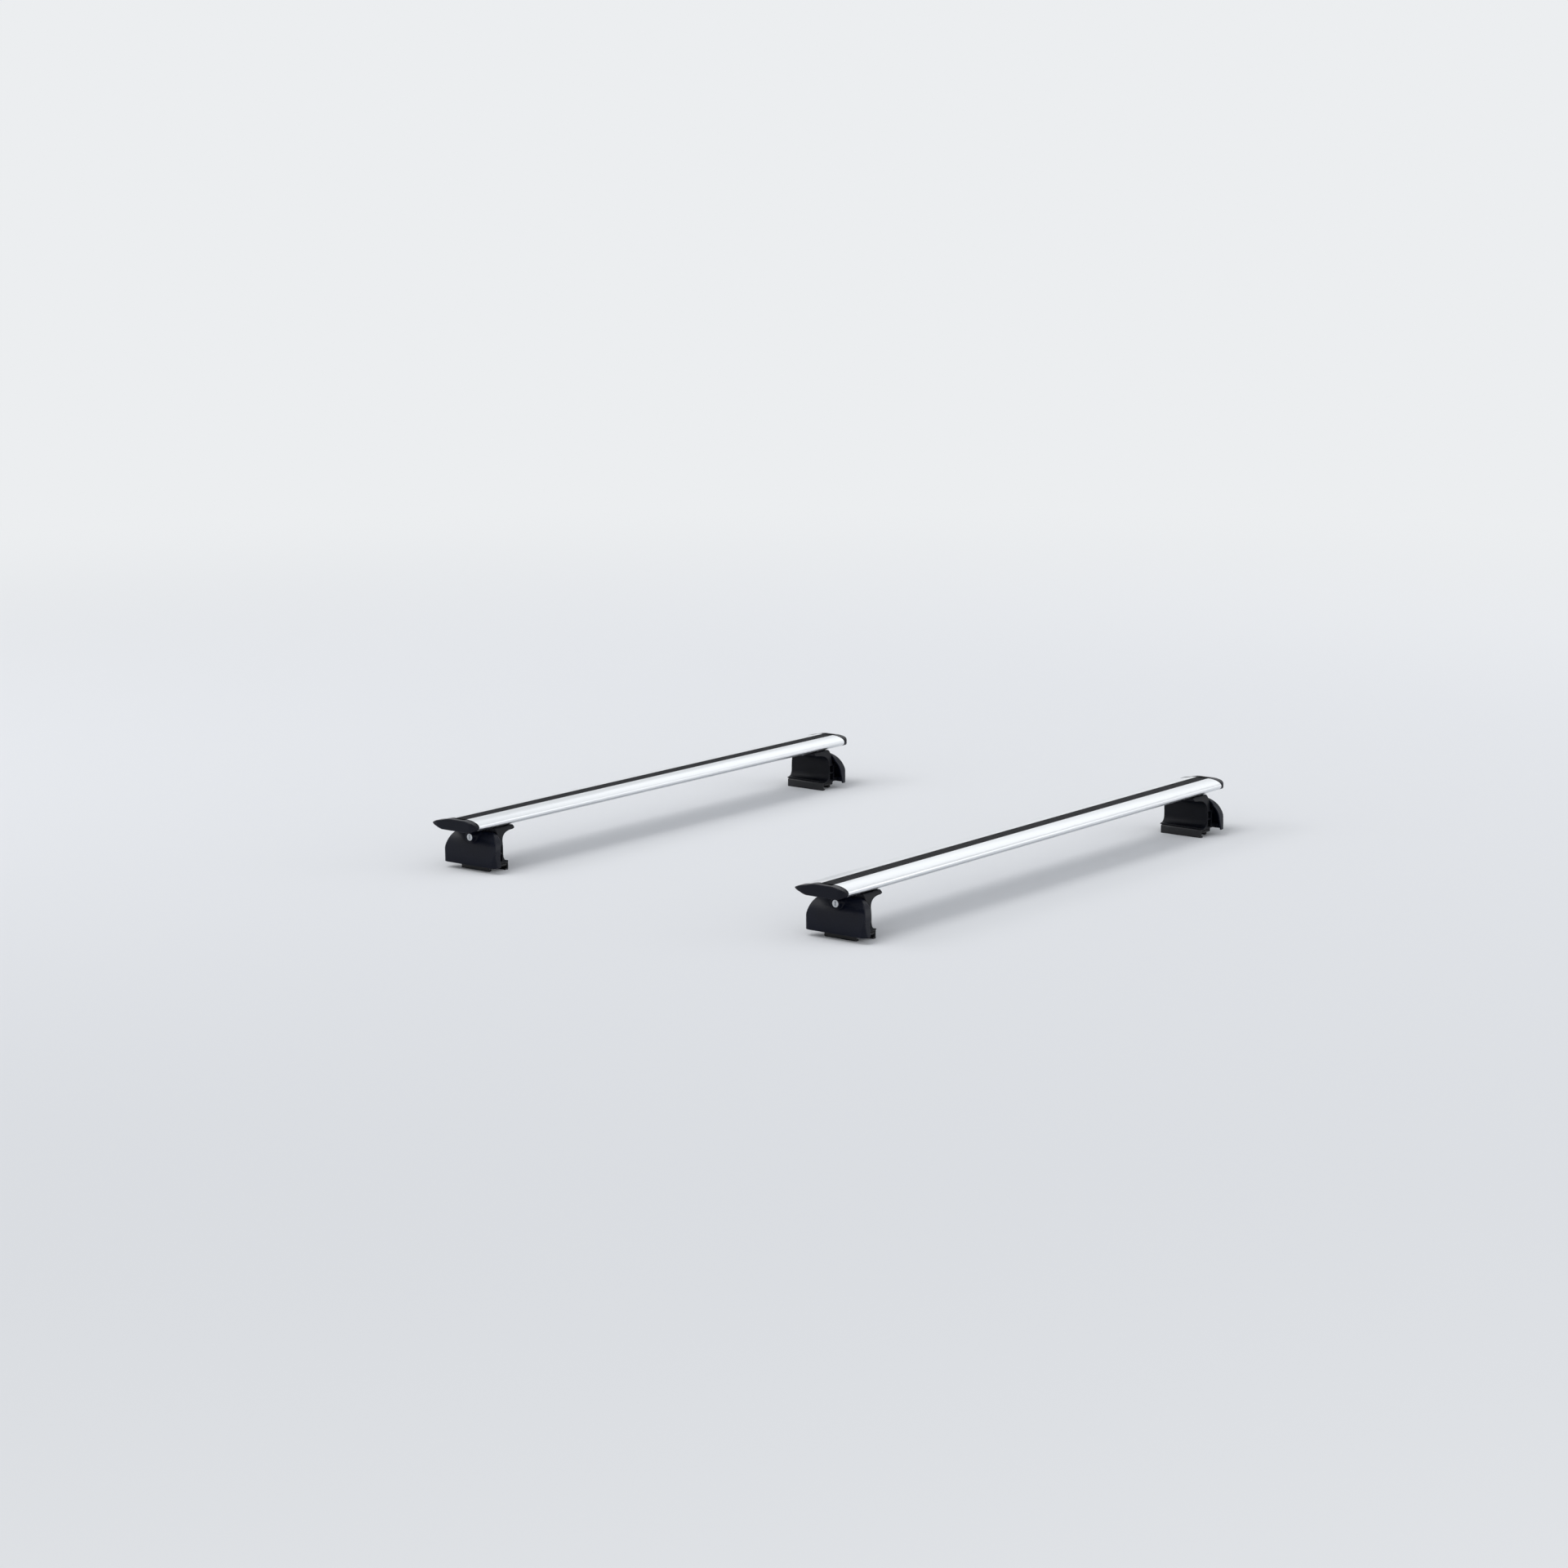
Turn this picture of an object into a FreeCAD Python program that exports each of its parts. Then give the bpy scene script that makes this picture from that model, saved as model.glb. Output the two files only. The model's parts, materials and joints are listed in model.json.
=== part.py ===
import FreeCAD, Part
import math
import os

from FreeCAD import Vector

os.makedirs("parts", exist_ok=True)

# A pair of roof crossbars in vehicle axes: +X forward, +Y to the left, +Z up.
# Z = 0 is the underside of the rail hooks that the pair stands on.

# Bar section, measured from the centre of its slots and from its flat underside
front_bar_length = 1060.0
rear_bar_length = 980.0
bar_spacing = 735.0
bar_height = 24.5
nose_reach = 37.0
nose_height = 11.0
tail_reach = 53.0
tail_height = 7.6
tail_half_thickness = 1.8
tail_round = 1.4
crown_margin = 0.6
crown_round = 11.0
belly_round = 6.0
flat_front = 20.0
flat_rear = 28.0
bar_wall = 2.2
rear_web_x = -31.0
tail_solid = 8.8

# Slots along the bar: a strip recess and channel on top, a channel below
recess_width = 17.4
recess_depth = 1.2
top_opening = 11.0
top_lip = 2.2
top_channel_width = 21.0
top_channel_height = 7.6
under_opening = 10.0
under_lip = 2.2
under_channel_width = 20.0
under_channel_height = 8.2

# Rubber strip: barbed below the channel's lips, grooved on top
barb_height = 2.0
barb_reach = 1.6
strip_wall = 2.0
strip_skin = 1.0
groove_pitch = 4.0
groove_width = 1.0
groove_depth = 0.5

# Bar ends: a plugged holder plate and a swinging cap
holder_plate = 2.0
plug_depth = 18.0
cap_thickness = 11.7
cap_gap = 0.3
cap_nose_corner = 12.0
cap_nose_depth = 10.8
cap_tail_ease = 7.0
cap_notch = 4.1
cap_pivot_x = -42.0
cap_pivot_z = 7.8
cap_pivot_radius = 2.2
cap_pivot_length = 7.0

# Foot, measured from the middle of the rail crown, outboard positive
rail_inset = 61.0
rail_width = 30.0
hook_drop = 8.0
foot_height = 60.0
steel = 2.5
bend_radius = 2.0
lip_reach = 4.0
pad_thickness = 3.0
bracket_half_width = 38.0
pad_half_width = 40.0

tower_half_width = 41.0
tower_inner_y = -3.0
tower_upper_depth = 10.0
tower_shoulder_rise = 18.5
jaw_standoff = 3.0
saddle_half_width = 31.0
saddle_overhang = 33.0
saddle_thickness = 6.0
saddle_flare_drop = 16.0
saddle_lead_in = 5.0
saddle_edge = 4.5
base_flare_reach = 11.5
base_flare_rise = 15.0
base_edge = 2.2
shelf_reach = 6.5
shelf_height = 6.0
shelf_gap = 2.0
pocket_wall = 2.8
pocket_rib = 2.5
pocket_floor_x = 20.0

# Cover: a quarter ellipse in side view, a dome in front view
cover_half_width = 55.0
cover_floor_gap = 2.0
cover_top_gap = 5.5
cover_top_half_width = 27.0
cover_side_rise = 18.0
cover_side_taper = 2.5
cover_reach = 35.0
cover_wall = 2.5
cover_side_depth = 14.0
cover_rim_drop = 12.0
cover_back_gap = 1.0
cover_corner_radius = 10.0

# Hinge of the cover
hinge_inset = 6.5
hinge_pin_radius = 2.0
hinge_arm_radius = 3.3
hinge_arm_width = 8.0
hinge_lug_width = 4.0
running_gap = 0.3

# Lock in the cover
lock_drop = 14.0
lock_radius = 5.5
boss_radius = 8.0
boss_inset = 2.0
lock_recess = 0.6
key_slot_height = 7.0
key_slot_width = 1.6
key_slot_depth = 3.0
tongue_length = 12.0
tongue_half_height = 3.0
tongue_thickness = 3.0
tongue_gap = 1.3
groove_depth_gap = 0.8

# Rail clamp
jaw_half_width = 28.0
jaw_top_gap = 2.0
jaw_heel_height = 4.0
bolt_rise = 9.5
bolt_radius = 4.0
bolt_head_radius = 6.5
bolt_head_height = 4.3
bolt_socket = 5.0
bolt_end_wall = 3.5
nut_width = 13.0
nut_thickness = 6.4

# Screws and plate that hold a foot to its bar and a bracket to its foot
tee_length = 30.0
tee_thickness = 4.5
tee_side_gap = 0.4
saddle_screw_first = 11.0
saddle_screw_pitch = 13.0
saddle_screw_radius = 3.0
saddle_head_radius = 5.0
saddle_head_height = 3.0
saddle_seat = 4.0
bracket_screw_x = 14.0
bracket_screw_radius = 2.2
bracket_screw_length = 14.0
bracket_head_radius = 4.2
bracket_head_depth = 2.0
fit_gap = 0.2
screw_tip = 1.0

# Allowance by which a cutting tool passes a face, and the share of a radius at which
# a curve's handles draw a quarter round
past = 1.0
round_pull = 0.5523

# Places that follow from the sizes above
bar_z = hook_drop + foot_height
slot_block = top_channel_width / 2 + bar_wall
cap_inner_y = -cap_thickness
holder_outer_y = cap_inner_y - cap_gap
extrusion_end_y = holder_outer_y - holder_plate
plate_z = hook_drop + pad_thickness
tower_base_z = plate_z + steel
rail_half = rail_width / 2
tower_outer_y = rail_half - jaw_standoff
tower_upper_y = tower_inner_y + tower_upper_depth
saddle_inner_y = tower_inner_y - saddle_overhang
base_inner_y = tower_inner_y - base_flare_reach
cover_outer_y = tower_inner_y + cover_reach
cover_base_z = hook_drop + cover_floor_gap
cover_rise = bar_z - cover_base_z
cover_top_z = bar_z - cover_top_gap
cover_side_z = cover_base_z + cover_side_rise
hinge_y = cover_outer_y - hinge_inset
hinge_z = tower_base_z + hinge_arm_radius
lock_z = bar_z - lock_drop
boss_face_y = cover_outer_y - boss_inset
boss_back_y = tower_upper_y + tongue_gap + tongue_thickness + running_gap
shelf_top_z = lock_z - boss_radius - shelf_gap
shelf_low_z = shelf_top_z - shelf_height
shelf_outer_y = tower_outer_y + shelf_reach
jaw_top_z = shelf_low_z - jaw_top_gap
bolt_z = tower_base_z + bolt_rise
bolt_end_y = tower_inner_y + bolt_end_wall
bracket_screw_y = (tower_inner_y + tower_outer_y) / 2
saddle_screw_places = [tower_inner_y - saddle_screw_first - i * saddle_screw_pitch for i in range(2)]


def box(x0, x1, y0, y1, z0, z1):
    return Part.makeBox(x1 - x0, y1 - y0, z1 - z0, Vector(x0, y0, z0))


def rod_y(x, z, radius, y0, y1):
    return Part.makeCylinder(radius, y1 - y0, Vector(x, y0, z), Vector(0, 1, 0))


def rod_x(y, z, radius, x0, x1):
    return Part.makeCylinder(radius, x1 - x0, Vector(x0, y, z), Vector(1, 0, 0))


def rod_z(x, y, radius, z0, z1):
    return Part.makeCylinder(radius, z1 - z0, Vector(x, y, z0), Vector(0, 0, 1))


def line(start, end):
    return Part.LineSegment(start, end).toShape()


def arc(start, middle, end):
    return Part.Arc(start, middle, end).toShape()


def bezier(*poles):
    curve = Part.BezierCurve()
    curve.setPoles(list(poles))
    return curve.toShape()


def prism(edges, travel):
    return Part.Face(Part.Wire(edges)).extrude(travel)


def polygon_x(points, half_width):
    """A YZ outline drawn out along X, both ways from the middle."""
    corners = [Vector(-half_width, y, z) for y, z in points]
    face = Part.Face(Part.makePolygon(corners + corners[:1]))
    return face.extrude(Vector(2 * half_width, 0, 0))


def bar_outline(inset, y0, y1):
    """The wing section set in by a wall, as a solid from y0 to y1."""
    low = bar_z + inset
    high = bar_z + bar_height - inset
    nose = nose_reach - inset
    tail = -tail_reach + inset
    crown = recess_width / 2 + crown_margin
    nose_z = bar_z + nose_height
    tail_z = bar_z + tail_height
    belly = Vector(flat_front, y0, low)
    nose_tip = Vector(nose, y0, nose_z)
    crown_front = Vector(crown, y0, high)
    crown_rear = Vector(-crown, y0, high)
    crown_end = crown_rear - Vector(crown_round, 0, 0)
    tail_top = Vector(tail + tail_round, y0, tail_z + tail_half_thickness)
    tail_low = Vector(tail + tail_round, y0, tail_z - tail_half_thickness)
    belly_rear = Vector(-flat_rear, y0, low)
    belly_end = belly_rear - Vector(belly_round, 0, 0)
    edges = [
        line(belly_rear, belly),
        bezier(belly, belly + Vector((nose - flat_front) * round_pull, 0, 0),
               nose_tip - Vector(0, 0, (nose_z - low) * round_pull), nose_tip),
        bezier(nose_tip, nose_tip + Vector(0, 0, (high - nose_z) * round_pull),
               crown_front + Vector((nose - crown) * round_pull, 0, 0), crown_front),
        line(crown_front, crown_rear),
        bezier(crown_rear, crown_end, (crown_end + tail_top) / 2, tail_top),
        arc(tail_top, Vector(tail, y0, tail_z), tail_low),
        bezier(tail_low, (tail_low + belly_end) / 2, belly_end, belly_rear),
    ]
    return prism(edges, Vector(0, y1 - y0, 0))


def top_slot(y0, y1):
    top = bar_z + bar_height
    floor = top - recess_depth - top_lip - top_channel_height
    recess = box(-recess_width / 2, recess_width / 2, y0, y1, top - recess_depth, top + past)
    neck = box(-top_opening / 2, top_opening / 2, y0, y1, floor, top)
    channel = box(-top_channel_width / 2, top_channel_width / 2, y0, y1,
                  floor, floor + top_channel_height)
    return recess.fuse([neck, channel])


def under_slot(y0, y1):
    roof = bar_z + under_lip + under_channel_height
    neck = box(-under_opening / 2, under_opening / 2, y0, y1, bar_z - past, roof)
    channel = box(-under_channel_width / 2, under_channel_width / 2, y0, y1, bar_z + under_lip, roof)
    return neck.fuse(channel)


def chambers(inset, y0, y1):
    """Front, middle rear and tail hollows of the section."""
    hollow = bar_outline(bar_wall + inset, y0, y1)
    low, high = bar_z - past, bar_z + bar_height + past
    front = box(slot_block + inset, nose_reach, y0, y1, low, high)
    rear = box(rear_web_x + inset, -slot_block - inset, y0, y1, low, high)
    tail = box(-tail_reach + tail_solid + inset, rear_web_x - bar_wall - inset, y0, y1, low, high)
    return [hollow.common(front), hollow.common(rear), hollow.common(tail)]


def make_bar(length):
    y1 = length / 2 + extrusion_end_y
    y0 = -y1
    body = bar_outline(0, y0, y1)
    return body.cut(chambers(0, y0, y1) + [top_slot(y0, y1), under_slot(y0, y1)])


def make_strip(length):
    """Rubber infill: a grooved flange in the recess, a neck and a barb below the lips."""
    y1 = length / 2 + extrusion_end_y
    y0 = -y1
    top = bar_z + bar_height
    seat = top - recess_depth
    barb_top = seat - top_lip - fit_gap
    barb_low = barb_top - barb_height
    neck_half = top_opening / 2 - fit_gap
    barb_half = neck_half + barb_reach
    hollow_half = neck_half - strip_wall
    flange = box(-recess_width / 2 + fit_gap, recess_width / 2 - fit_gap, y0, y1, seat, top)
    neck = box(-neck_half, neck_half, y0, y1, barb_low, seat)
    barb = box(-barb_half, barb_half, y0, y1, barb_low, barb_top)
    cuts = [box(-hollow_half, hollow_half, y0, y1, barb_low, seat - strip_skin)]
    for place in (-1, 0, 1):
        x = place * groove_pitch
        cuts.append(box(x - groove_width / 2, x + groove_width / 2, y0, y1, top - groove_depth, top + past))
    return flange.fuse([neck, barb]).cut(cuts)


def make_end_holder():
    """Plate on the bar's end with plugs in its hollows and the cap's pivot pin."""
    y0, y1 = extrusion_end_y, holder_outer_y
    plugs = chambers(fit_gap, y0 - plug_depth, y0)
    pin = rod_y(cap_pivot_x, bar_z + cap_pivot_z, cap_pivot_radius, y1, y1 + cap_pivot_length)
    plate = bar_outline(0, y0, y1).fuse(plugs + [pin])
    return plate.cut([top_slot(y0, y1), under_slot(y0, y1)]).removeSplitter()


def make_end_cap():
    """Solid wing-shaped cap, rounded in plan at the nose and eased at the tail."""
    y0, y1 = cap_inner_y, 0
    low, high = bar_z - past, bar_z + bar_height + past
    body = bar_outline(0, y0, y1)
    tail = -tail_reach - past
    side_y = y1 - cap_nose_depth
    ease_y = y1 - cap_tail_ease
    face_front = nose_reach - cap_nose_corner
    face_rear = tail + 3 * cap_tail_ease
    plan = [
        line(Vector(tail, y0, low), Vector(nose_reach, y0, low)),
        line(Vector(nose_reach, y0, low), Vector(nose_reach, side_y, low)),
        bezier(Vector(nose_reach, side_y, low),
               Vector(nose_reach, side_y + cap_nose_depth * round_pull, low),
               Vector(face_front + cap_nose_corner * round_pull, y1, low),
               Vector(face_front, y1, low)),
        line(Vector(face_front, y1, low), Vector(face_rear, y1, low)),
        bezier(Vector(face_rear, y1, low), Vector(tail + cap_tail_ease, y1, low),
               Vector(tail, ease_y, low)),
        line(Vector(tail, ease_y, low), Vector(tail, y0, low)),
    ]
    rounded = body.common(prism(plan, Vector(0, 0, high - low)))
    top = bar_z + bar_height
    notch = box(-recess_width / 2, recess_width / 2, y0, y0 + cap_notch, top - recess_depth, top + past)
    socket = rod_y(cap_pivot_x, bar_z + cap_pivot_z, cap_pivot_radius + running_gap,
                   y0, y0 + cap_pivot_length)
    return rounded.cut([notch, socket])


def dome(half_width, top_half_width, base_z, side_z, top_z, taper, y0, y1):
    """Front view outline with upright sides and arched shoulders, drawn out along Y."""
    side = half_width - taper
    right, left = Vector(side, y0, side_z), Vector(-side, y0, side_z)
    top_right, top_left = Vector(top_half_width, y0, top_z), Vector(-top_half_width, y0, top_z)
    rise = Vector(0, 0, (top_z - side_z) * round_pull)
    run = Vector((side - top_half_width) * round_pull, 0, 0)
    edges = [
        line(Vector(-half_width, y0, base_z), Vector(half_width, y0, base_z)),
        line(Vector(half_width, y0, base_z), right),
        bezier(right, right + rise, top_right + run, top_right),
        line(top_right, top_left),
        bezier(top_left, top_left - run, left + rise, left),
        line(left, Vector(-half_width, y0, base_z)),
    ]
    return prism(edges, Vector(0, y1 - y0, 0))


def quarter_ellipse(reach, rise, base_z, half_width):
    """Side view quarter ellipse about the foot's inner face, drawn out along X."""
    centre = Vector(-half_width, tower_inner_y, base_z)
    start = centre + Vector(0, reach, 0)
    top = centre + Vector(0, 0, rise)
    bow = bezier(start, start + Vector(0, 0, rise * round_pull),
                 top + Vector(0, reach * round_pull, 0), top)
    return prism([bow, line(top, centre), line(centre, start)], Vector(2 * half_width, 0, 0))


def rounded_plan(half_width, y_out, radius):
    """Top view with rounded outboard corners, drawn up through the foot's height."""
    y0 = tower_inner_y - past
    turn = radius * (1 - math.sqrt(0.5))
    x1, x2 = half_width - radius, half_width - turn
    y1, y2 = y_out - radius, y_out - turn
    edges = [
        line(Vector(-half_width, y0, 0), Vector(half_width, y0, 0)),
        line(Vector(half_width, y0, 0), Vector(half_width, y1, 0)),
        arc(Vector(half_width, y1, 0), Vector(x2, y2, 0), Vector(x1, y_out, 0)),
        line(Vector(x1, y_out, 0), Vector(-x1, y_out, 0)),
        arc(Vector(-x1, y_out, 0), Vector(-x2, y2, 0), Vector(-half_width, y1, 0)),
        line(Vector(-half_width, y1, 0), Vector(-half_width, y0, 0)),
    ]
    return prism(edges, Vector(0, 0, bar_z))


def make_tower():
    """Moulded foot body: waisted and ribbed, with a clamp bore, a shelf and a saddle under the bar."""
    top = bar_z
    saddle_low = top - saddle_thickness
    flare_low = saddle_low - saddle_flare_drop
    flare_tip = saddle_inner_y + saddle_lead_in
    waist_z = tower_base_z + base_flare_rise
    edge_z = tower_base_z + base_edge
    x0 = -tower_half_width - past
    corners = [
        (flare_tip, saddle_low), (saddle_inner_y, top - saddle_edge), (saddle_inner_y, top),
        (tower_upper_y, top), (tower_upper_y, shelf_top_z), (shelf_outer_y, shelf_top_z),
        (shelf_outer_y, shelf_low_z), (tower_outer_y, shelf_low_z), (tower_outer_y, tower_base_z),
        (base_inner_y, tower_base_z), (base_inner_y, edge_z),
    ]
    points = [Vector(x0, y, z) for y, z in corners]
    edges = [line(a, b) for a, b in zip(points, points[1:])]
    waist_low = Vector(x0, tower_inner_y, waist_z)
    waist_high = Vector(x0, tower_inner_y, flare_low)
    edges += [
        bezier(points[-1], Vector(x0, tower_inner_y, edge_z), waist_low),
        line(waist_low, waist_high),
        bezier(waist_high, Vector(x0, tower_inner_y, saddle_low), points[0]),
    ]
    side = prism(edges, Vector(-2 * x0, 0, 0))
    shoulder_z = tower_base_z + tower_shoulder_rise
    front = dome(tower_half_width, saddle_half_width, tower_base_z, shoulder_z, top, 0.0,
                 saddle_inner_y - past, shelf_outer_y + past)
    body = side.common(front)

    arms = []
    for sign in (-1, 1):
        x_out = sign * tower_half_width
        x_in = sign * (tower_half_width - hinge_arm_width)
        low_x, high_x = min(x_in, x_out), max(x_in, x_out)
        arms.append(box(low_x, high_x, tower_outer_y - past, hinge_y,
                        hinge_z - hinge_arm_radius, hinge_z + hinge_arm_radius))
        arms.append(rod_x(hinge_y, hinge_z, hinge_arm_radius, low_x, high_x))
    body = body.fuse(arms)

    cuts = [rod_x(hinge_y, hinge_z, hinge_pin_radius + running_gap,
                  -tower_half_width - past, tower_half_width + past)]
    rib_z = (tower_base_z + shelf_top_z) / 2
    for sign in (-1, 1):
        low_x, high_x = sorted((sign * pocket_floor_x, sign * (tower_half_width + past)))
        cuts.append(box(low_x, high_x, tower_inner_y + pocket_wall, tower_outer_y - pocket_wall,
                        tower_base_z + pocket_wall, rib_z - pocket_rib / 2))
        cuts.append(box(low_x, high_x, tower_inner_y + pocket_wall, tower_outer_y - pocket_wall,
                        rib_z + pocket_rib / 2, shelf_top_z - pocket_wall))
        cuts.append(rod_z(sign * bracket_screw_x, bracket_screw_y, bracket_screw_radius + fit_gap,
                          tower_base_z - past, plate_z + bracket_screw_length + past))
    cuts.append(rod_y(0, bolt_z, bolt_radius + 2 * running_gap, bolt_end_y - past, shelf_outer_y + past))
    nut_half = nut_width / 2 + fit_gap
    cuts.append(box(-nut_half, nut_half, tower_outer_y - nut_thickness, tower_outer_y + past,
                    bolt_z - nut_half, bolt_z + nut_half))
    groove_half = tongue_length + past
    cuts.append(box(-groove_half, groove_half, tower_upper_y + tongue_gap / 2, boss_back_y,
                    lock_z - tongue_length - groove_depth_gap, shelf_top_z + past))
    for y in saddle_screw_places:
        cuts.append(rod_z(0, y, saddle_screw_radius + running_gap, flare_low, top + past))
        cuts.append(rod_z(0, y, saddle_head_radius + running_gap, flare_low, top - saddle_seat))
    return body.cut(cuts)


def make_cover():
    """Thin moulded cover with side walls that follow its bow, a lock boss and hinge pins."""
    far = cover_half_width + past
    outer = dome(cover_half_width, cover_top_half_width, cover_base_z, cover_side_z, cover_top_z,
                 cover_side_taper, tower_inner_y, cover_outer_y + past)
    solid = outer.common(quarter_ellipse(cover_reach, cover_rise, cover_base_z, far))
    solid = solid.common(rounded_plan(cover_half_width, cover_outer_y, cover_corner_radius))

    inner = dome(cover_half_width - cover_wall, cover_top_half_width - cover_wall / 2, cover_base_z - past,
                 cover_side_z, cover_top_z - cover_wall, cover_side_taper,
                 tower_inner_y - past, cover_outer_y)
    wall_bow = quarter_ellipse(cover_reach - cover_wall, cover_rise - cover_wall, cover_base_z, far)
    below = box(-far, far, tower_inner_y, cover_outer_y - cover_wall,
                cover_base_z - 2 * past, cover_base_z)
    cavity = inner.common(wall_bow.fuse(below))
    cavity = cavity.common(rounded_plan(cover_half_width - cover_wall, cover_outer_y - cover_wall,
                                        cover_corner_radius - cover_wall))
    rim = quarter_ellipse(cover_reach - cover_side_depth, cover_rise - cover_rim_drop, cover_base_z, far)
    back = box(-far, far, tower_inner_y - past, tower_upper_y + cover_back_gap, 0, bar_z)
    shell = solid.cut([cavity, rim, back])

    boss = rod_y(0, lock_z, boss_radius, boss_back_y, boss_face_y)
    pins = []
    lug_in = tower_half_width + running_gap
    for sign in (-1, 1):
        low_x, high_x = sorted((sign * lug_in, sign * (lug_in + hinge_lug_width)))
        lug = box(low_x, high_x, hinge_y - hinge_pin_radius, cover_outer_y,
                  hinge_z - hinge_pin_radius, hinge_z + hinge_pin_radius)
        pins.append(lug.common(solid))
        low_x, high_x = sorted((sign * (lug_in - hinge_arm_width), sign * (lug_in + hinge_lug_width)))
        pins.append(rod_x(hinge_y, hinge_z, hinge_pin_radius, low_x, high_x))
    bore = rod_y(0, lock_z, lock_radius + running_gap, boss_back_y - past, boss_face_y + past)
    return shell.fuse([boss] + pins).cut(bore).removeSplitter()


def make_lock_core():
    """Barrel flush in its boss with a tongue behind; unlocked, the tongue lies level."""
    face_y = boss_face_y - lock_recess
    barrel_back = boss_back_y - running_gap
    tongue_back = barrel_back - tongue_thickness
    tip = tongue_length - tongue_half_height
    barrel = rod_y(0, lock_z, lock_radius, barrel_back, face_y)
    blade = box(0, tip, tongue_back, barrel_back, lock_z - tongue_half_height, lock_z + tongue_half_height)
    ends = [rod_y(x, lock_z, tongue_half_height, tongue_back, barrel_back) for x in (0, tip)]
    key_slot = box(-key_slot_width / 2, key_slot_width / 2, face_y - key_slot_depth, face_y + past,
                   lock_z - key_slot_height / 2, lock_z + key_slot_height / 2)
    return barrel.fuse([blade] + ends).removeSplitter().cut(key_slot)


def make_rail_pad():
    pad = box(-pad_half_width, pad_half_width, -rail_half + fit_gap, tower_outer_y, hook_drop, plate_z)
    corners = [edge for edge in pad.Edges if abs(edge.tangentAt(edge.FirstParameter).z) > 0.9]
    return pad.makeFillet(2 * pad_thickness, corners)


def make_inner_bracket():
    """Folded steel plate under the foot, hooked below the inner edge of the rail."""
    w = bracket_half_width
    y_in = -rail_half - steel
    lip_y = -rail_half + lip_reach
    outline = [(tower_outer_y, plate_z), (tower_outer_y, tower_base_z), (y_in, tower_base_z), (y_in, 0),
               (lip_y, 0), (lip_y, steel), (-rail_half, steel), (-rail_half, plate_z)]
    folded = polygon_x(outline, w)
    bends = [edge for edge in folded.Edges
             if abs(edge.tangentAt(edge.FirstParameter).x) > 0.9
             and abs(edge.CenterOfMass.y - y_in) < 0.01 and edge.CenterOfMass.z > steel]
    folded = folded.makeFillet(bend_radius, bends)
    cuts = []
    for x in (-bracket_screw_x, bracket_screw_x):
        cuts.append(rod_z(x, bracket_screw_y, bracket_screw_radius + fit_gap,
                          plate_z - past, tower_base_z + past))
        cuts.append(countersink(x, fit_gap))
    return folded.cut(cuts)


def countersink(x, gap):
    return Part.makeCone(bracket_head_radius + gap, bracket_screw_radius + gap, bracket_head_depth,
                         Vector(x, bracket_screw_y, plate_z), Vector(0, 0, 1))


def make_outer_jaw():
    """Folded steel hook that the clamp bolt draws under the outer edge of the rail."""
    y_out = rail_half + steel
    lip_y = rail_half - lip_reach
    heel_y = tower_outer_y + running_gap
    heel_z = jaw_top_z - jaw_heel_height
    outline = [(lip_y, 0), (y_out, 0), (y_out, jaw_top_z), (heel_y, jaw_top_z), (heel_y, heel_z),
               (rail_half, heel_z), (rail_half, steel), (lip_y, steel)]
    folded = polygon_x(outline, jaw_half_width)
    bends = [edge for edge in folded.Edges
             if abs(edge.tangentAt(edge.FirstParameter).x) > 0.9
             and abs(edge.CenterOfMass.y - y_out) < 0.01]
    folded = folded.makeFillet(bend_radius, bends)
    return folded.cut(rod_y(0, bolt_z, bolt_radius + running_gap, 0, y_out + past))


def make_clamp_bolt():
    head_y = rail_half + steel
    head = rod_y(0, bolt_z, bolt_head_radius, head_y, head_y + bolt_head_height)
    shank = rod_y(0, bolt_z, bolt_radius, bolt_end_y, head_y)
    corner = bolt_socket / math.sqrt(3)
    turns = [math.radians(60 * i) for i in range(7)]
    flats = [Vector(corner * math.cos(turn), head_y + bolt_head_height + past,
                    bolt_z + corner * math.sin(turn)) for turn in turns]
    socket = Part.Face(Part.makePolygon(flats)).extrude(Vector(0, -bolt_head_height, 0))
    return head.fuse(shank).cut(socket)


def make_clamp_nut():
    nut = box(-nut_width / 2, nut_width / 2, tower_outer_y - nut_thickness, tower_outer_y,
              bolt_z - nut_width / 2, bolt_z + nut_width / 2)
    return nut.cut(rod_y(0, bolt_z, bolt_radius + running_gap, 0, tower_outer_y + past))


def make_tee_plate():
    """Threaded plate in the bar's lower channel."""
    half = under_channel_width / 2 - tee_side_gap
    middle = sum(saddle_screw_places) / len(saddle_screw_places)
    low = bar_z + under_lip
    plate = box(-half, half, middle - tee_length / 2, middle + tee_length / 2, low, low + tee_thickness)
    holes = [rod_z(0, y, saddle_screw_radius + fit_gap, low - past, low + tee_thickness + past)
             for y in saddle_screw_places]
    return plate.cut(holes)


def make_saddle_screw(y):
    seat = bar_z - saddle_seat
    tip = bar_z + under_lip + tee_thickness + screw_tip
    head = rod_z(0, y, saddle_head_radius, seat - saddle_head_height, seat)
    return head.fuse(rod_z(0, y, saddle_screw_radius, seat, tip))


def make_bracket_screw(x):
    shank = rod_z(x, bracket_screw_y, bracket_screw_radius, plate_z + bracket_head_depth,
                  plate_z + bracket_screw_length)
    return countersink(x, 0.0).fuse(shank)


def mirrored(shape, left):
    """A piece of the left side, or its mirror image for the right."""
    return shape if left else shape.mirror(Vector(0, 0, 0), Vector(0, 1, 0))


def save(node, shape):
    shape.exportStep("parts/" + node + ".step")


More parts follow.
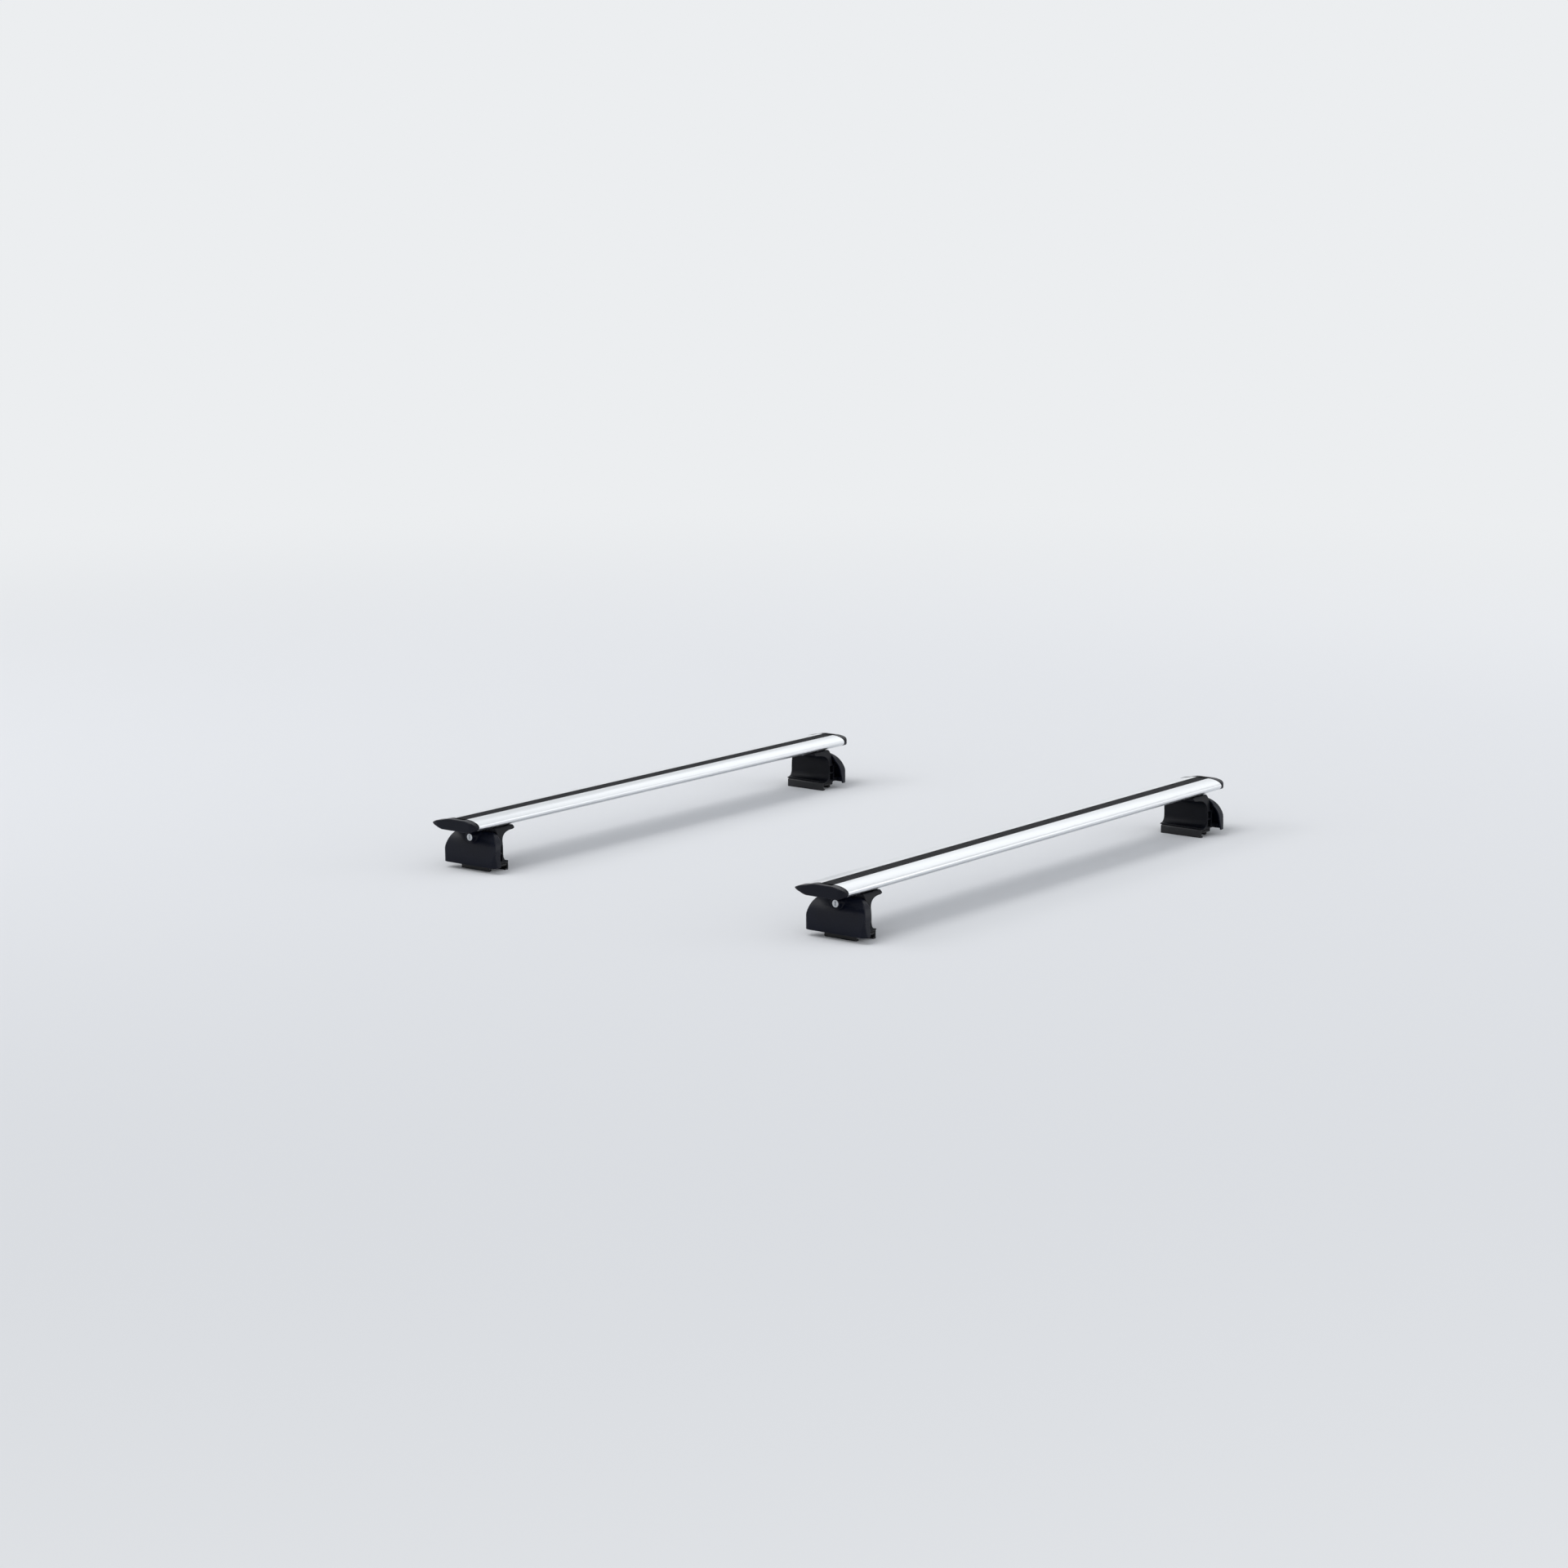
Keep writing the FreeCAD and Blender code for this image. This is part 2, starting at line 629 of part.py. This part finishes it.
bars = {
    "front": (front_bar_length, bar_spacing / 2),
    "rear": (rear_bar_length, -bar_spacing / 2),
}
end_pieces = {
    "end_holder": make_end_holder(),
    "end_cap": make_end_cap(),
}
foot_pieces = {
    "foot_tower": make_tower(),
    "foot_cover": make_cover(),
    "lock_core": make_lock_core(),
    "rail_pad": make_rail_pad(),
    "inner_bracket": make_inner_bracket(),
    "outer_jaw": make_outer_jaw(),
    "clamp_bolt": make_clamp_bolt(),
    "tee_plate": make_tee_plate(),
}
fasteners = {
    "clamp_nuts": [make_clamp_nut()],
    "saddle_screws": [make_saddle_screw(y) for y in saddle_screw_places],
    "bracket_screws": [make_bracket_screw(x) for x in (-bracket_screw_x, bracket_screw_x)],
}
groups = {node: [] for node in fasteners}
for name, (length, x) in bars.items():
    save(name + "_bar", make_bar(length).translated(Vector(x, 0, 0)))
    save(name + "_strip", make_strip(length).translated(Vector(x, 0, 0)))
    bar_end = Vector(x, length / 2, 0)
    rail = Vector(x, length / 2 - rail_inset, 0)
    for side, left in (("left", True), ("right", False)):
        corner = name + "_" + side + "_"
        for piece, shape in end_pieces.items():
            save(corner + piece, mirrored(shape.translated(bar_end), left))
        for piece, shape in foot_pieces.items():
            save(corner + piece, mirrored(shape.translated(rail), left))
        for node, solids in fasteners.items():
            groups[node] += [mirrored(solid.translated(rail), left) for solid in solids]
for node, solids in groups.items():
    save(node, Part.makeCompound(solids))
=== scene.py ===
import json
import math

import bmesh
import bpy
from mathutils import Matrix, Vector
from mathutils.bvhtree import BVHTree


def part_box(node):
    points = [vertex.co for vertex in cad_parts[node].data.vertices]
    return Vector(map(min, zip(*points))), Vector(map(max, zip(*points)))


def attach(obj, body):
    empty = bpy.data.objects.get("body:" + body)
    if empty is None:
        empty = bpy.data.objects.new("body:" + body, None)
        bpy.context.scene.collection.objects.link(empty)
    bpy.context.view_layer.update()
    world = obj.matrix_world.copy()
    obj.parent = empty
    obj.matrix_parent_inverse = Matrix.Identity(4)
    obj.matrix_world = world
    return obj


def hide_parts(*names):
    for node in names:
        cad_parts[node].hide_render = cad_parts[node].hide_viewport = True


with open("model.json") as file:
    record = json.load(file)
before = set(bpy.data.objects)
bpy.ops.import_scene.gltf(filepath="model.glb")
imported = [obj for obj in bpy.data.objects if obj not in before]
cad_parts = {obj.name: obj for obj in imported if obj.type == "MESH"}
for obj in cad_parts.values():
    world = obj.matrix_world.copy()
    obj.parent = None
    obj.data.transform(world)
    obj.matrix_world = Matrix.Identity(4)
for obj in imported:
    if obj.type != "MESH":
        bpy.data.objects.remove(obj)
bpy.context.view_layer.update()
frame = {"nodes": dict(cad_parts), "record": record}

# Camera.
# A long lens looks a little down on the pair from its front right corner.
# The middle of the pair sits at a measured pixel of the square picture.
scene = bpy.context.scene
scene.view_settings.view_transform = "Standard"

IMAGE_SIZE = 1920
FOCAL_PIXELS = 4500
SENSOR_WIDTH = 36.0
VIEW_AZIMUTH = math.radians(37.17)
VIEW_ELEVATION = math.radians(10.65)
VIEW_DISTANCE = 5.849
PAIR_MIDDLE = Vector((0.0, 0.0, 0.05))
PAIR_MIDDLE_PIXEL = (1022.5, 1006.3)
VIEW_END = 80.0

back = Vector((math.sin(VIEW_AZIMUTH) * math.cos(VIEW_ELEVATION),
               -math.cos(VIEW_AZIMUTH) * math.cos(VIEW_ELEVATION), math.sin(VIEW_ELEVATION)))
right = Vector((math.cos(VIEW_AZIMUTH), math.sin(VIEW_AZIMUTH), 0.0))
up = back.cross(right)
metres_per_pixel = VIEW_DISTANCE / FOCAL_PIXELS
aside = (IMAGE_SIZE / 2 - PAIR_MIDDLE_PIXEL[0]) * metres_per_pixel
above = (PAIR_MIDDLE_PIXEL[1] - IMAGE_SIZE / 2) * metres_per_pixel
camera = bpy.data.objects.new("camera", bpy.data.cameras.new("camera"))
camera.data.sensor_width = SENSOR_WIDTH
camera.data.lens = FOCAL_PIXELS / IMAGE_SIZE * SENSOR_WIDTH
camera.data.clip_end = VIEW_END
camera.location = PAIR_MIDDLE + back * VIEW_DISTANCE + right * aside + up * above
camera.rotation_euler = Matrix((right, up, back)).transposed().to_euler()
scene.collection.objects.link(camera)
scene.camera = camera

# Studio.
# A matte pale floor that runs out into a pale surround, so that no horizon shows.
# One broad lamp gives the soft shadow; panels give long reflections along the bars and covers.


def linear(hex_colour):
    """An sRGB hex colour as the linear RGBA that shader sockets take."""
    channels = [int(hex_colour[i:i + 2], 16) / 255 for i in (1, 3, 5)]
    return [c / 12.92 if c <= 0.04045 else ((c + 0.055) / 1.055) ** 2.4 for c in channels] + [1.0]


def add_node(tree, kind, settings=(), links=()):
    """One shader node, with its settings or socket values, and links into it."""
    node = tree.nodes.new(kind)
    for name, value in dict(settings).items():
        if name in node.inputs:
            node.inputs[name].default_value = value
        else:
            setattr(node, name, value)
    for name, source in dict(links).items():
        tree.links.new(source, node.inputs[name])
    return node


def new_material(name):
    """An empty node material, with its tree and its output's surface socket."""
    material = bpy.data.materials.new(name)
    material.use_nodes = True
    tree = material.node_tree
    tree.nodes.clear()
    return material, tree, tree.nodes.new("ShaderNodeOutputMaterial").inputs["Surface"]


SURROUND = linear("#eceef0")
FLOOR_HALF_SIZE = 30.0
FADE_START = 1.6
FADE_END = 5.0

floor_mesh = bmesh.new()
bmesh.ops.create_grid(floor_mesh, x_segments=1, y_segments=1, size=FLOOR_HALF_SIZE)
floor = bpy.data.objects.new("studio_floor", bpy.data.meshes.new("studio_floor"))
floor_mesh.to_mesh(floor.data)
floor_mesh.free()
scene.collection.objects.link(floor)
floor_paint, tree, surface = new_material("matte_pale_floor_paint")
place = tree.nodes.new("ShaderNodeTexCoord")
reach = add_node(tree, "ShaderNodeVectorMath", {"operation": "LENGTH"}, {0: place.outputs["Object"]})
fade = add_node(tree, "ShaderNodeMapRange",
                {"interpolation_type": "SMOOTHSTEP", "From Min": FADE_START, "From Max": FADE_END},
                {"Value": reach.outputs["Value"]})
paint = add_node(tree, "ShaderNodeBsdfDiffuse", {"Color": linear("#e9eaec"), "Roughness": 1.0})
glow = add_node(tree, "ShaderNodeEmission", {"Color": SURROUND, "Strength": 1.0})
mix = add_node(tree, "ShaderNodeMixShader", (),
               {0: fade.outputs["Result"], 1: paint.outputs["BSDF"], 2: glow.outputs["Emission"]})
tree.links.new(mix.outputs["Shader"], surface)
floor.data.materials.append(floor_paint)

SKY_STRENGTH = 0.68
world = bpy.data.worlds.new("studio")
scene.world = world
world.use_nodes = True
tree = world.node_tree
tree.nodes.clear()
sky = add_node(tree, "ShaderNodeBackground", {"Color": linear("#f1f4f8"), "Strength": SKY_STRENGTH})
seen = add_node(tree, "ShaderNodeBackground", {"Color": SURROUND, "Strength": 1.0})
ray = tree.nodes.new("ShaderNodeLightPath")
direct = add_node(tree, "ShaderNodeMath", {"operation": "MAXIMUM"},
                  {0: ray.outputs["Is Camera Ray"], 1: ray.outputs["Is Transmission Ray"]})
shown = add_node(tree, "ShaderNodeMath", {"operation": "MAXIMUM"},
                 {0: direct.outputs["Value"], 1: ray.outputs["Is Glossy Ray"]})
mix = add_node(tree, "ShaderNodeMixShader", (),
               {0: shown.outputs["Value"], 1: sky.outputs["Background"], 2: seen.outputs["Background"]})
add_node(tree, "ShaderNodeOutputWorld", (), {"Surface": mix.outputs["Shader"]})


def lamp(name, kind, place, target, power, **settings):
    """A lamp that faces a target point."""
    light = bpy.data.lights.new(name, kind)
    light.energy = power
    for key, value in settings.items():
        setattr(light, key, value)
    holder = bpy.data.objects.new(name, light)
    holder.location = place
    holder.rotation_euler = (Vector(place) - Vector(target)).to_track_quat("Z", "Y").to_euler()
    scene.collection.objects.link(holder)


SUN_SPREAD = math.radians(35)
NEAR_COVERS = (0.0, -0.5, 0.05)
lamp("soft_sun", "SUN", (-1.0, -1.6, 4.0), PAIR_MIDDLE, power=0.85, angle=SUN_SPREAD)
lamp("nose_panel", "AREA", (3.4, 2.6, 1.3), PAIR_MIDDLE, power=15.0,
     shape="RECTANGLE", size=3.2, size_y=1.6)
lamp("crown_panel", "AREA", (-0.6, 3.4, 2.4), PAIR_MIDDLE, power=9.0,
     shape="RECTANGLE", size=3.4, size_y=1.6)
lamp("cover_panel", "AREA", (-2.4, -2.2, 2.2), NEAR_COVERS, power=22.0,
     shape="RECTANGLE", size=2.4, size_y=1.0)

# Bars.
# Extruded aluminium wings, etched and anodised in natural silver, drawn slimmer than their solids.
# The die leaves faint lines along the bar, and the etch turns its gloss to a satin sheen.
MERGE_DISTANCE = 0.000002
FLAT_ANGLE = math.radians(0.2)
HARD_ANGLE = math.radians(28)
BAR_EDGE = 0.0003
SLIMNESS = 0.75
CROWN_STRETCH = 1.3
BELLY_END = 0.028
TAIL_RISE_LENGTH = 0.012
PIVOT_REACH = 0.0027

CORNERS = [bar + "_" + side for bar in ("front", "rear") for side in ("left", "right")]
BODY_OF = {node: body for body, nodes in frame["record"]["behaviour"]["bodies"].items() for node in nodes}
JOINT_PLACE = {joint["name"]: Vector(joint["pos_m"])
               for joint in frame["record"]["behaviour"]["joints"] if "pos_m" in joint}


def dress(material, *nodes):
    """Give CAD nodes one finish."""
    for name in nodes:
        mesh = frame["nodes"][name].data
        mesh.materials.clear()
        mesh.materials.append(material)


def slim_wing(shape, bar):
    """Draw a copy of the wing section slimmer, with a wider crown.

    Its underside stays on the saddle, its tail keeps level with the end cap's pivot, and the pivot itself
    stays round and in its place.
    """
    pivot = JOINT_PLACE[bar.replace("bar", "left_end_cap_swing")]
    low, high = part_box(bar)
    strip_low, strip_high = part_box(bar.replace("bar", "strip"))
    strip_half = (strip_high.x - strip_low.x) / 2
    middle = (strip_high.x + strip_low.x) / 2
    for vert in shape.verts:
        if math.hypot(vert.co.x - pivot.x, vert.co.z - pivot.z) < PIVOT_REACH:
            continue
        x = vert.co.x - middle
        reach = high.x - middle if x > 0 else middle - low.x
        outside = max(abs(x) - strip_half, 0.0)
        inside = min(abs(x), strip_half) * CROWN_STRETCH
        squeeze = (reach - strip_half * CROWN_STRETCH) / (reach - strip_half)
        vert.co.x = middle + math.copysign(inside + outside * squeeze, x)
        rearward = min(max((-x - BELLY_END) / TAIL_RISE_LENGTH, 0.0), 1.0)
        level = low.z + (pivot.z - low.z) * rearward
        vert.co.z = level + (vert.co.z - level) * SLIMNESS


def softened(node, edge_width, material, bar=None):
    """A merged copy of a CAD node in its place, with its hard edges rounded and its curves smooth.

    Points that the rounding throws off a narrow face go back to the nearest surface.
    """
    shape = bmesh.new()
    shape.from_mesh(frame["nodes"][node].data)
    bmesh.ops.remove_doubles(shape, verts=shape.verts, dist=MERGE_DISTANCE)
    bmesh.ops.dissolve_limit(shape, angle_limit=FLAT_ANGLE, verts=shape.verts, edges=shape.edges)
    if bar:
        slim_wing(shape, bar)
    hard = [edge for edge in shape.edges
            if edge.is_manifold and edge.is_convex and edge.calc_face_angle() > HARD_ANGLE]
    skin = BVHTree.FromBMesh(shape)
    bmesh.ops.bevel(shape, geom=hard, offset=edge_width, offset_type="OFFSET", segments=2, profile=0.5,
                    affect="EDGES", clamp_overlap=False, material=-1)
    for vert in shape.verts:
        nearest, _, _, gap = skin.find_nearest(vert.co)
        if gap > edge_width:
            vert.co = nearest
    for face in shape.faces:
        face.smooth = True
        face.material_index = 0
    piece = bpy.data.objects.new(node + "_finished", bpy.data.meshes.new(node + "_finished"))
    shape.to_mesh(piece.data)
    shape.free()
    piece.data.materials.append(material)
    scene.collection.objects.link(piece)
    weights = piece.modifiers.new("face_weights", "WEIGHTED_NORMAL")
    weights.keep_sharp = True
    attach(piece, BODY_OF[node])
    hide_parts(node)


# Real die lines are about 0.1 mm wide; these are drawn wider so that they show.
DIE_LINE_WIDTH = 0.0016
DIE_LINE_STRETCH = 0.004
RELIEF_DEPTH = 0.0002
anodised, tree, surface = new_material("natural_anodised_aluminium")
place = tree.nodes.new("ShaderNodeTexCoord")
stretch = add_node(tree, "ShaderNodeMapping", {"Scale": (1.0, DIE_LINE_STRETCH, 1.0)},
                   {"Vector": place.outputs["Object"]})
die_lines = add_node(tree, "ShaderNodeTexNoise",
                     {"Scale": 1 / DIE_LINE_WIDTH, "Detail": 3.0, "Roughness": 0.6},
                     {"Vector": stretch.outputs["Vector"]})
tint = add_node(tree, "ShaderNodeValToRGB", (), {"Fac": die_lines.outputs["Fac"]})
tint.color_ramp.elements[0].color = linear("#dcdfe2")
tint.color_ramp.elements[1].color = linear("#e9ebed")
gloss = add_node(tree, "ShaderNodeMapRange", {"To Min": 0.26, "To Max": 0.36},
                 {"Value": die_lines.outputs["Fac"]})
relief = add_node(tree, "ShaderNodeBump", {"Strength": 0.06, "Distance": RELIEF_DEPTH},
                  {"Height": die_lines.outputs["Fac"]})
shader = add_node(tree, "ShaderNodeBsdfPrincipled", {"Metallic": 1.0},
                  {"Base Color": tint.outputs["Color"], "Roughness": gloss.outputs["Result"],
                   "Normal": relief.outputs["Normal"]})
tree.links.new(shader.outputs["BSDF"], surface)
for bar in ("front_bar", "rear_bar"):
    softened(bar, BAR_EDGE, anodised, bar)

# Top strips.
# Extruded EPDM rubber pressed into the top track, with three grooves along its length.
# A matte charcoal, with hardly any sheen and a faint dusty bloom.


def grained(name, dark, light, grain, patch, roughness, relief_strength, **base):
    """A finish with a fine grain in gloss and relief, and broad soft changes of tone.

    Real grain is about 0.1 to 0.2 mm; it is drawn coarser, so that it shows.
    """
    material, tree, surface = new_material(name)
    place = tree.nodes.new("ShaderNodeTexCoord")
    specks = add_node(tree, "ShaderNodeTexNoise", {"Scale": 1 / grain, "Detail": 2.0},
                      {"Vector": place.outputs["Object"]})
    patches = add_node(tree, "ShaderNodeTexNoise", {"Scale": 1 / patch, "Detail": 4.0},
                       {"Vector": place.outputs["Object"]})
    tint = add_node(tree, "ShaderNodeValToRGB", (), {"Fac": patches.outputs["Fac"]})
    tint.color_ramp.elements[0].color = linear(dark)
    tint.color_ramp.elements[1].color = linear(light)
    gloss = add_node(tree, "ShaderNodeMapRange", {"To Min": roughness[0], "To Max": roughness[1]},
                     {"Value": specks.outputs["Fac"]})
    relief = add_node(tree, "ShaderNodeBump", {"Strength": relief_strength, "Distance": RELIEF_DEPTH},
                      {"Height": specks.outputs["Fac"]})
    shader = add_node(tree, "ShaderNodeBsdfPrincipled", base,
                      {"Base Color": tint.outputs["Color"], "Roughness": gloss.outputs["Result"],
                       "Normal": relief.outputs["Normal"]})
    tree.links.new(shader.outputs["BSDF"], surface)
    return material


MATTE_BLACK = {"IOR": 1.4, "Specular IOR Level": 0.2}
strip_rubber = grained("extruded_epdm_rubber", "#0d0e12", "#16181d", grain=0.0009, patch=0.012,
                       roughness=(0.60, 0.75), relief_strength=0.15, **MATTE_BLACK)
STRIP_EDGE = 0.0002
for name in ("front", "rear"):
    softened(name + "_strip", STRIP_EDGE, strip_rubber, name + "_bar")

# End caps and their holders.
# Caps of injection-moulded black ASA on holders plugged into the bars, where they swing on a pin.
# The mould's fine texture gives a soft sheen, and the caps' outer edges are rounded over.
CAP_EDGE = 0.0012
HOLDER_EDGE = 0.0003
SATIN_BLACK = {"IOR": 1.4, "Specular IOR Level": 0.25}
cap_plastic = grained("moulded_black_asa", "#080a14", "#0d101c", grain=0.0009, patch=0.03,
                      roughness=(0.30, 0.42), relief_strength=0.12, **SATIN_BLACK)
for corner in CORNERS:
    bar = corner.split("_")[0] + "_bar"
    softened(corner + "_end_cap", CAP_EDGE, cap_plastic, bar)
    softened(corner + "_end_holder", HOLDER_EDGE, cap_plastic, bar)

# Foot bodies.
# Mouldings of glass-filled black nylon with ribbed pockets in their sides, screwed up under the bars.
# The glass dulls them to a grey sheen.
TOWER_EDGE = 0.0005
foot_nylon = grained("glass_filled_black_nylon", "#07090f", "#0c0e17", grain=0.0011, patch=0.025,
                     roughness=(0.40, 0.55), relief_strength=0.2, **SATIN_BLACK)
for corner in CORNERS:
    softened(corner + "_foot_tower", TOWER_EDGE, foot_nylon)

# Foot covers.
# Thin bowed shells of moulded ABS, hinged at their lower edge.
# Smooth satin black with a cool cast.
COVER_EDGE = 0.0008
cover_abs = grained("satin_black_abs", "#080b17", "#0e1220", grain=0.0008, patch=0.04,
                    roughness=(0.24, 0.34), relief_strength=0.08, **SATIN_BLACK)
for corner in CORNERS:
    softened(corner + "_foot_cover", COVER_EDGE, cover_abs)

# Locks.
# Die-cast zinc barrels with a key slot, which turn in the covers' bosses.
# Nickel plate, bright and lightly satin from handling.
LOCK_EDGE = 0.0003
nickel = grained("satin_nickel_plate", "#b9bcc0", "#cdd0d3", grain=0.0007, patch=0.004,
                 roughness=(0.22, 0.34), relief_strength=0.06, Metallic=1.0)
for corner in CORNERS:
    softened(corner + "_lock_core", LOCK_EDGE, nickel)

# Rail pads.
# Moulded black rubber soles under the feet, dull and slightly dusty.
# They keep the plain shape of their solids.
pad_rubber = grained("moulded_black_rubber", "#151618", "#1e2022", grain=0.0009, patch=0.01,
                     roughness=(0.65, 0.80), relief_strength=0.2, IOR=1.5)
for corner in CORNERS:
    dress(pad_rubber, corner + "_rail_pad")

# Hooks.
# Folded steel claws of each foot's clamp: the inner one is screwed on, the outer one slides.
# A black powder coat gives them a fine orange peel.
HOOK_EDGE = 0.0004
powder_coat = grained("black_powder_coat", "#131417", "#1a1b1f", grain=0.0012, patch=0.02,
                      roughness=(0.40, 0.54), relief_strength=0.18, IOR=1.5)
for corner in CORNERS:
    softened(corner + "_inner_bracket", HOOK_EDGE, powder_coat)
    softened(corner + "_outer_jaw", HOOK_EDGE, powder_coat)

# Bolts, nuts, screws and threaded plates.
# Turned and stamped steel that clamps the hooks and ties the feet to the bars.
# A blue-white zinc plate, slightly cloudy from the bath.
BOLT_EDGE = 0.0003
zinc = grained("blue_zinc_plated_steel", "#a9aeb5", "#bfc3c8", grain=0.0008, patch=0.005,
               roughness=(0.28, 0.42), relief_strength=0.08, Metallic=1.0)
for corner in CORNERS:
    softened(corner + "_clamp_bolt", BOLT_EDGE, zinc)
    dress(zinc, corner + "_tee_plate")
dress(zinc, "clamp_nuts", "saddle_screws", "bracket_screws")
